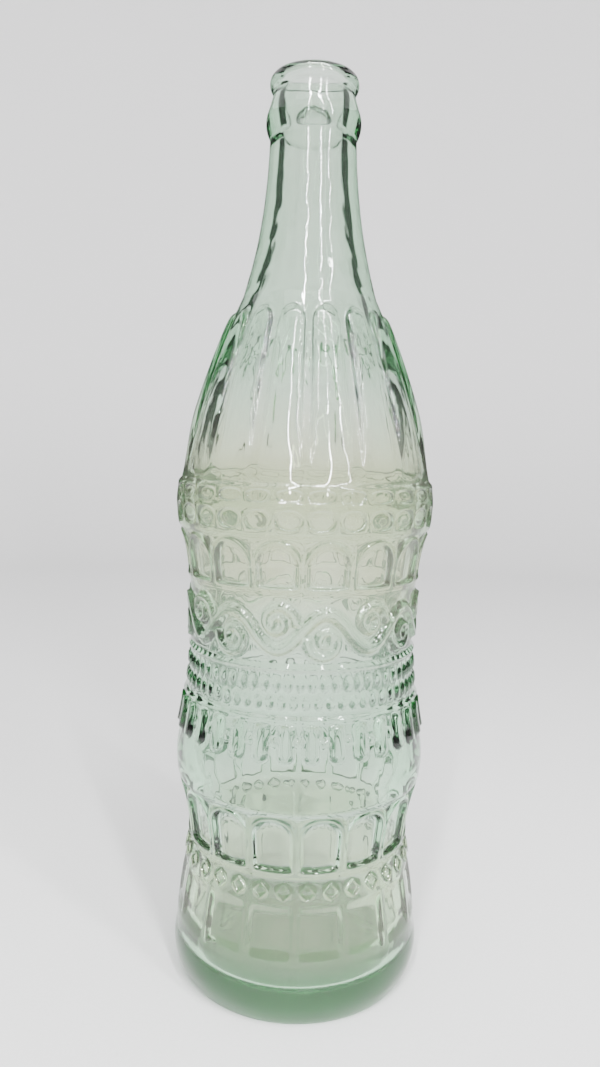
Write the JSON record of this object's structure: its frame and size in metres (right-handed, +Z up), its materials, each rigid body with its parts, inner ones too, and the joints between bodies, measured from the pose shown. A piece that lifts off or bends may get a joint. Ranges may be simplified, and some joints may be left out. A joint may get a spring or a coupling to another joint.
{
  "type": "glass soda bottle",
  "caption": "Tall round glass soda bottle with a crown finish, fluted shoulder, beaded band, waisted body between two arcades and a thick base; open and empty.",
  "frame": {"origin": "middle of the base, on the surface the bottle stands on", "axes": "+Z up along the bottle's axis, from the base to the mouth; -Y is the front, on the line between two arches"},
  "size_m": [0.08, 0.08, 0.277],
  "materials": {
    "glass": "clear pale aqua-green moulded soda-lime glass, glossy, greener where thick"
  },
  "bodies": {
    "root": {"glass_bottle": "glass"}
  },
  "joints": []
}
